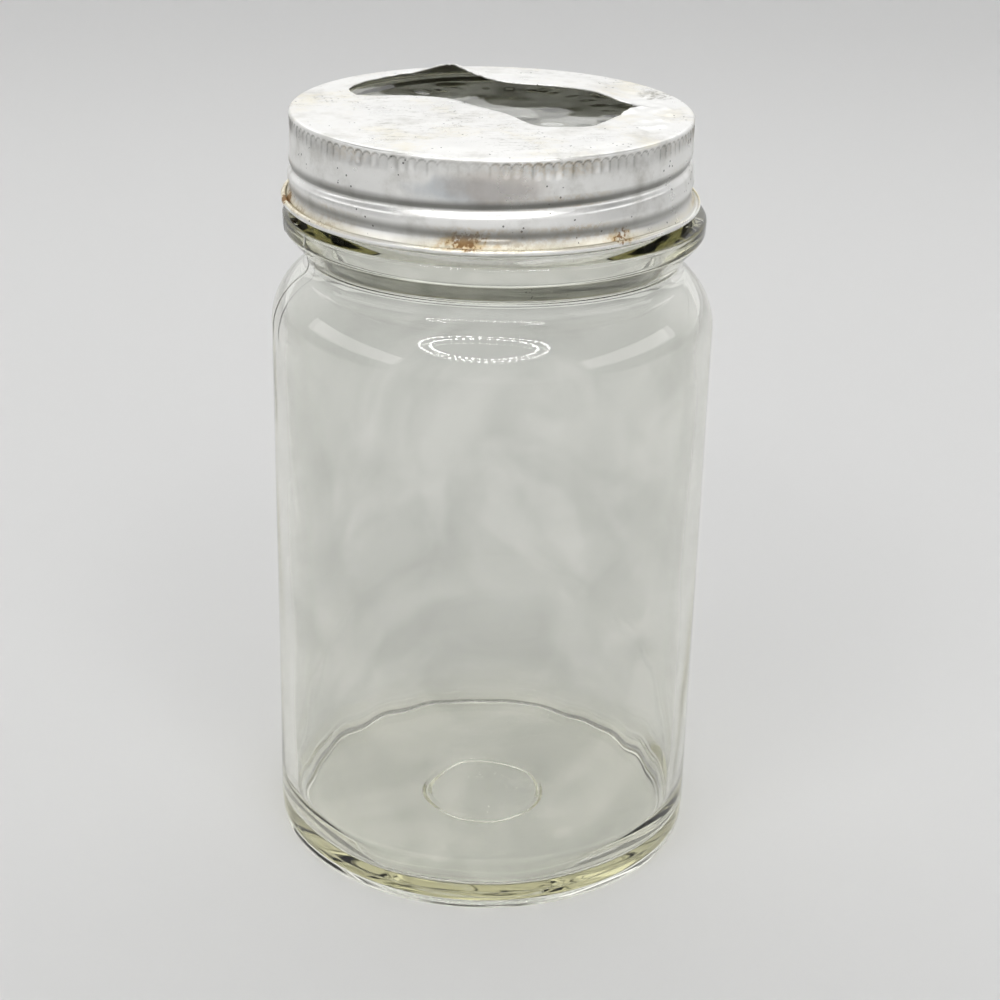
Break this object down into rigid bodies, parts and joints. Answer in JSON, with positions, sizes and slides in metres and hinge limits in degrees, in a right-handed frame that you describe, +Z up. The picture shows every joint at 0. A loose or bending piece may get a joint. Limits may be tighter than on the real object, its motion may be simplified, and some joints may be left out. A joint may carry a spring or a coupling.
{
  "type": "canning jar with torn screw cap",
  "caption": "Wide-mouth clear glass canning jar, empty, with a rolled edge thin metal screw cap torn open over a clear glass disc.",
  "frame": {"origin": "centre of the jar's foot, on the surface it stands on", "axes": "+Z up along the jar's axis, -Y towards the front"},
  "size_m": [0.0988, 0.0988, 0.1759],
  "materials": {
    "jar_glass": "clear, faintly green-grey",
    "liner_glass": "clear, moulded",
    "cap_metal": "dull silvery, worn, with rust-brown spots"
  },
  "bodies": {
    "root": {"jar": "jar_glass", "liner": "liner_glass", "cap": "cap_metal"}
  },
  "joints": []
}
